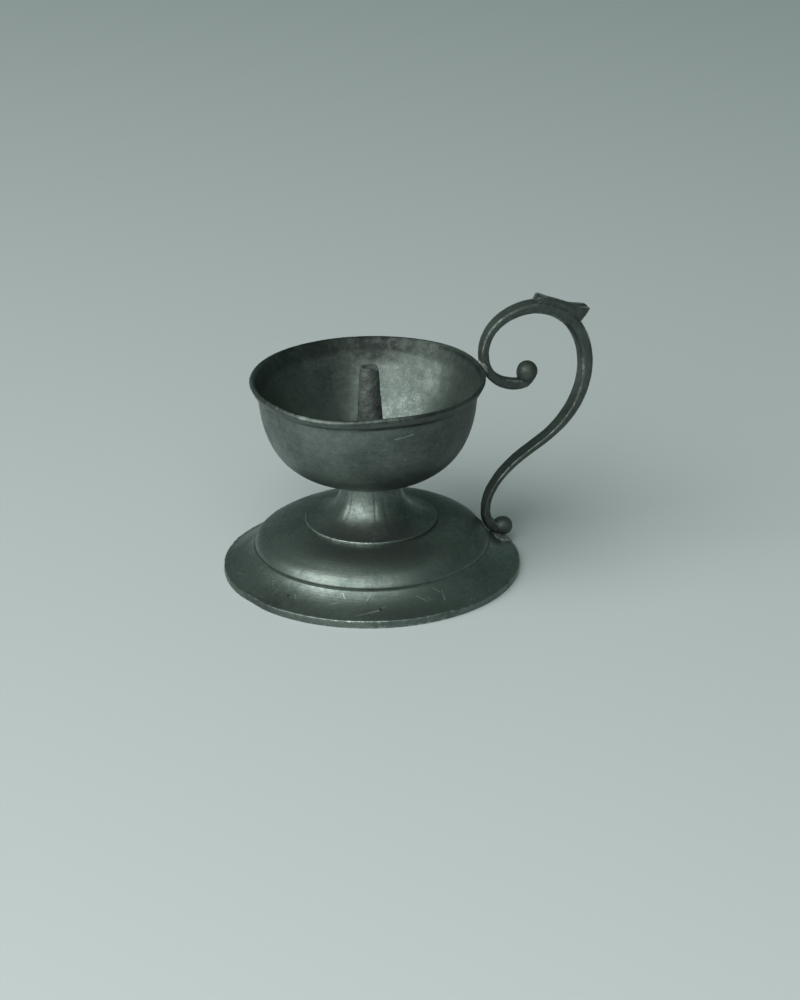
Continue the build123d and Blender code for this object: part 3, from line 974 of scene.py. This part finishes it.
leaf_skin, leaf_share = leaf_rings()
leaf = skin("thumb_leaf_cast", leaf_skin, closed=False)
leaf_edge = hump(np.arange(leaf_skin.shape[1]), 19, 2.2)
leaf_edge = np.clip(leaf_edge + leaf_edge[::-1], 0, 1)
leaf_rub = 0.35 + 0.65 * (hump(leaf_share, 0.13, 0.16) + hump(leaf_share, 0.92, 0.14))
paint(leaf, "wear_and_highlight", leaf_edge[None] * leaf_rub[:, None])
strap_share = np.linspace(0, 1, strap_steps)
# Painted shade on the strap: beside the balls, in its crease and under the leaf.
under_leaf = hump(strap_share, leaf_middle, 0.05)[:, None] * strap_corner * strap_outer
strap_shade = [upper_ball_shade, 0.6 * lower_ball_shade, 0.7 * strap_crease, 0.6 * under_leaf]
paint(handle, "crease_shade", np.maximum.reduce(strap_shade))
print("leaf reaches", leaf_skin.reshape(-1, 3).max(0).round(2), "of", corners("thumb_rest")[1].round(2))

# %% [markdown]
# The handle is held by soft solder. One lump lies over the rim beside the curl, and another was run out
# flat on the flange, in front of the lower curl. Solder sets in a lumpy puddle, so each is a flattened
# ball whose skin is pushed in and out by noise, and it leans with what it lies on.

# %% Solder
rim_lump_half, foot_lump_half = (1.5, 4.2, 1.5), (3.6, 3.6, 1.0)
rim_lump_place = (rim_radius - 0.1, -1.6, rim_height - 0.8)
foot_lump_place = (foot_radius - 4.7, -1.5, flange_height(foot_radius - 4.7))


def puddle(name, middle, half, tilt, seed):
    """A lump of solder that leans with what it sits on."""
    half = np.array(half)
    way = all_ways(40)
    size = 0.85 - 0.36 * ripple(way * half, 1.7, seed) - 0.26 * ripple(way * half, 0.7, seed + 1)
    lump = way * size[..., None] * half
    lump[..., 2] += tilt * lump[..., 0]
    piece = skin(name, np.array(middle) + lump, closed=False)
    print(name, "half sizes", half)
    return piece


rim_lump = puddle("rim_solder_lump", rim_lump_place, rim_lump_half, -0.35, 17)
foot_lump = puddle("foot_solder_lump", foot_lump_place, foot_lump_half, -0.5, 19)

# %% [markdown]
# Old pewter is never one grey. Tarnish lies on it in clouds, fine lines from the lathe run round it,
# edges are rubbed bright and partly carry a painted highlight, and creases are painted darker as painted
# shade. The finish mixes two tones by large and small noise, reads the wear, highlight and crease shade
# that were stored on the points, and takes its fine lines from a noise that is stretched along the
# turning, so it bends with the piece. Tarnish is no mirror, so the finish is only partly metal. Fine noise
# cut off at a level makes the small dark pits and the light specks.

# %% Layers of a finish


def stored(tree, name):
    """A number that was kept on the points of a piece."""
    return put(tree, "Attribute", attribute_name=name).outputs["Fac"]


def lathe_lines(tree, width):
    """Noise stretched round a turned piece, with lines of about a width in millimetres."""
    place = put(tree, "CombineXYZ", {k.upper(): stored(tree, "turning_" + k) for k in "xyz"}).outputs[0]
    place = put(tree, "VectorMath", {0: place, 1: (1.6, 1.6, 1 / width)}, operation="MULTIPLY").outputs[0]
    return put(tree, "TexNoise", {"Vector": place, "Scale": 1.0, "Detail": 4.0}).outputs["Fac"]


def bumped(tree, shader, layers):
    """Adds bumps to a shader: each layer is a height, a strength and a depth in millimetres."""
    normal = None
    for height, strength, depth in layers:
        inputs = {"Height": height, "Strength": strength, "Distance": depth * MM}
        if normal:
            inputs["Normal"] = normal
        normal = put(tree, "Bump", inputs).outputs["Normal"]
    tree.links.new(normal, shader.inputs["Normal"])


def round_place(radius, height, angle):
    """A point in metres from a radius, a height and an angle in degrees, as a turner would give it."""
    turn = math.radians(angle)
    return Vector((radius * math.cos(turn), radius * math.sin(turn), height)) * MM


def mark(tree, place, start, end, width):
    """1 along a scratch between two points, or at a pit where both are the same, and 0 away from it."""
    start, run = round_place(*start), round_place(*end) - round_place(*start)
    offset = put(tree, "VectorMath", {0: place, 1: start}, operation="SUBTRACT").outputs[0]
    per_length = run / max(run.length_squared, 1e-12)
    along = put(tree, "VectorMath", {0: offset, 1: per_length}, operation="DOT_PRODUCT").outputs["Value"]
    share = put(tree, "Clamp", {"Value": along}).outputs[0]
    nearest = put(tree, "VectorMath", {0: run, "Scale": share}, operation="SCALE").outputs[0]
    apart = put(tree, "VectorMath", {0: offset, 1: nearest}, operation="DISTANCE").outputs["Value"]
    return between(tree, apart, width * MM, width * MM * 0.35)


def marks(tree, place, runs):
    """The strongest of several marks at each point."""
    total = 0.0
    for start, end, width in runs:
        total = maths(tree, "MAXIMUM", total, mark(tree, place, start, end, width))
    return total


def dot(radius, height, angle, width):
    """A mark that starts and ends at one point."""
    return (radius, height, angle), (radius, height, angle), width


scratches = [
    ((35.97, 59.96, -94.7), (36.03, 60.85, -84.9), 0.30),
    ((34.49, 51.94, -126.4), (33.61, 49.54, -125.3), 0.42),
    ((47.44, 3.08, -113.9), (45.35, 4.21, -104.7), 0.42),
    ((42.18, 6.40, -110.1), (40.21, 8.36, -107.9), 0.42),
    ((41.94, 6.63, -74.6), (45.01, 4.42, -75.7), 0.42),
    ((41.97, 6.60, -87.3), (43.53, 5.40, -84.4), 0.42),
    dot(47.91, 2.86, -65.0, 0.5),
    dot(35.45, 56.08, -108.2, 0.35),
    dot(34.45, 51.86, -88.6, 0.35),
]
pits = [
    dot(44.08, 5.00, -146.3, 0.9),
    dot(45.03, 4.41, -104.2, 0.9),
    dot(29.20, 16.08, -177.6, 0.6),
    dot(32.96, 51.52, 44.1, 0.6),
    dot(34.20, 59.05, 17.3, 0.7),
]
corroded_left = ((40.6, 7.96, -171.8), (44.34, 4.82, -153.7), 2.6)
fine_scratches = 8
chance = random.Random(12)
for _ in range(fine_scratches):
    radius, turn = chance.uniform(groove_radius + 2, foot_radius - 4), camera_side + chance.uniform(-80, 80)
    after, further = radius + chance.uniform(-2, 2), turn + chance.uniform(-4, 4)
    ends = (radius, flange_height(radius), turn), (after, flange_height(after), further)
    scratches.append((*ends, chance.uniform(0.12, 0.20)))
print(len(scratches), "scratches and", len(pits), "pits are listed")

# %% [markdown]
# One recipe serves all five metals. They differ in their tones, in how much of a mirror is left and in
# how rough they are. Turned ones carry lathe lines, and only the pewter body shows soot, painted shade,
# painted sheen and scratches.

# %% Pewter, iron, solder and steel


def old_metal(
    name, dark, light, worn_and_sheen, metal, smooth, rough, cloud=16.0, lines=0.0, speck=0.5, history=False,
):
    """A tarnished metal: two tones in clouds, worn and highlighted edges, painted shade in creases, specks
    and fine bumps.
    """
    material, tree, shader = finish(name)
    place = put(tree, "TexCoord").outputs["Object"]
    clouds = between(tree, grain(tree, place, cloud, 6.0, 0.6), 0.36, 0.66)
    mottle = between(tree, grain(tree, place, 2.2, 6.0, 0.7), 0.30, 0.70)
    fine = grain(tree, place, 0.55, 4.0, 0.65)
    patches = weighed(tree, (clouds, 0.45), (mottle, 0.40), (fine, 0.15))
    turning = between(tree, lathe_lines(tree, 0.4), 0.32, 0.68) if lines else None
    if lines:
        turned_share = between(tree, stored(tree, "unturned"), 0.0, 1.0, lines, lines * 0.2)
        stripes = maths(tree, "MULTIPLY", maths(tree, "SUBTRACT", turning, 0.5), turned_share)
        patches = maths(tree, "ADD", patches, stripes)
    # Edge wear, partly a painted highlight along lit edges.
    uneven_wear_and_highlight = weighed(tree, (mottle, 0.35), (fine, 0.55), (stored(tree, "wear_and_highlight"), 1.0))
    rubbed_and_lit = between(tree, uneven_wear_and_highlight, 0.68, 1.25)
    # Painted shade in creases; the pits are added below.
    darkened = between(tree, stored(tree, "crease_shade"), 0.1, 0.8)
    specks = maths(tree, "MULTIPLY", between(tree, fine, 0.62, 0.70), speck)
    pitted = maths(tree, "MULTIPLY", between(tree, fine, 0.37, 0.30), speck)
    shade_and_pit_black, soot_tarnish_shade_black = ((*(v * share for v in dark), 1) for share in (0.35, 0.15))
    colour = mixed(tree, patches, (*dark, 1), (*light, 1))
    colour = mixed(tree, rubbed_and_lit, colour, (*worn_and_sheen, 1))
    colour = mixed(tree, specks, colour, (*worn_and_sheen, 1))
    gloss = patches
    if history:
        # Soot and painted shade darken it; scratches, corrosion and a painted sheen lighten it.
        spots = between(tree, grain(tree, place, 3.2, 5.0, 0.7), 0.36, 0.62)
        soot_tarnish_shade = maths(tree, "MULTIPLY", stored(tree, "soot_tarnish_shade"), between(tree, spots, 0.0, 1.0, 0.88, 1.06))
        patchy = between(tree, spots, 0.0, 1.0, 0.75, 0.1)
        sheen_patches = maths(tree, "MULTIPLY", stored(tree, "painted_sheen"), patchy)
        crust = marks(tree, place, [corroded_left])
        corroded = maths(tree, "MULTIPLY", crust, between(tree, fine, 0.55, 0.66))
        bright = maths(tree, "MAXIMUM", marks(tree, place, scratches), corroded)
        bright = maths(tree, "MAXIMUM", maths(tree, "MULTIPLY", bright, 0.85), sheen_patches)
        colour = mixed(tree, bright, colour, (*worn_and_sheen, 1))
        colour = mixed(tree, soot_tarnish_shade, colour, soot_tarnish_shade_black)
        pitted = maths(tree, "MAXIMUM", pitted, marks(tree, place, pits))
        gloss = maths(tree, "SUBTRACT", patches, soot_tarnish_shade)
    darkened = maths(tree, "MAXIMUM", darkened, pitted)
    colour = mixed(tree, darkened, colour, shade_and_pit_black)
    tree.links.new(colour, shader.inputs["Base Color"])
    shader.inputs["Metallic"].default_value = metal
    satin = between(tree, gloss, 0.2, 0.8, rough, smooth)
    tree.links.new(weighed(tree, (satin, 1.0), (darkened, 0.25)), shader.inputs["Roughness"])
    layers = [(mottle, 0.25, 0.06), (fine, 0.3, 0.05)]
    if lines:
        layers.append((turning, 0.35, 0.035))
    bumped(tree, shader, layers)
    return material


pewter = old_metal(
    "old_pewter", (0.066, 0.088, 0.077), (0.168, 0.200, 0.181), (0.33, 0.375, 0.348),
    metal=0.90, smooth=0.34, rough=0.46, lines=0.17, history=True,
)
cast_pewter = old_metal(
    "cast_pewter", (0.026, 0.037, 0.031), (0.070, 0.088, 0.078), (0.19, 0.22, 0.20),
    metal=0.65, smooth=0.46, rough=0.60, speck=0.35,
)
iron = old_metal(
    "pitted_iron", (0.014, 0.019, 0.017), (0.115, 0.138, 0.126), (0.24, 0.27, 0.255),
    metal=0.40, smooth=0.60, rough=0.72, cloud=3.0, speck=0.8,
)
solder = old_metal(
    "soft_solder", (0.085, 0.105, 0.095), (0.18, 0.21, 0.195), (0.28, 0.31, 0.295),
    metal=0.40, smooth=0.45, rough=0.58,
)
steel = old_metal(
    "dull_steel", (0.20, 0.20, 0.195), (0.36, 0.36, 0.35), (0.5, 0.5, 0.49),
    metal=0.90, smooth=0.35, rough=0.50, lines=0.2,
)
print("finishes:", [material.name for material in (pewter, cast_pewter, iron, solder, steel)])

# %% [markdown]
# Last, each piece gets its finish, takes the place of its node of the frame and rides on the one body
# that the stick has. Nothing on it moves.

# %% Pieces on the frame
pieces = [
    (foot, "foot", "pewter", pewter),
    (stem, "stem", "pewter", pewter),
    (bowl, "bowl", "pewter", pewter),
    (pricket, "pricket", "iron", iron),
    (washer, "clamp_washer", "fastener", steel),
    (nut, "clamp_nut", "fastener", steel),
    (handle, "scroll_handle", "handle_pewter", cast_pewter),
    (leaf, "thumb_rest", "handle_pewter", cast_pewter),
    (upper_ball, "upper_scroll_ball", "handle_pewter", cast_pewter),
    (lower_ball, "lower_scroll_ball", "handle_pewter", cast_pewter),
    (rim_lump, "rim_solder", "solder", solder),
    (foot_lump, "foot_solder", "solder", solder),
]
for piece, node, slot, material in pieces:
    piece.data.materials.append(material)
    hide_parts(node)
    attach(piece, "root")
print(len(pieces), "pieces ride on the frame")
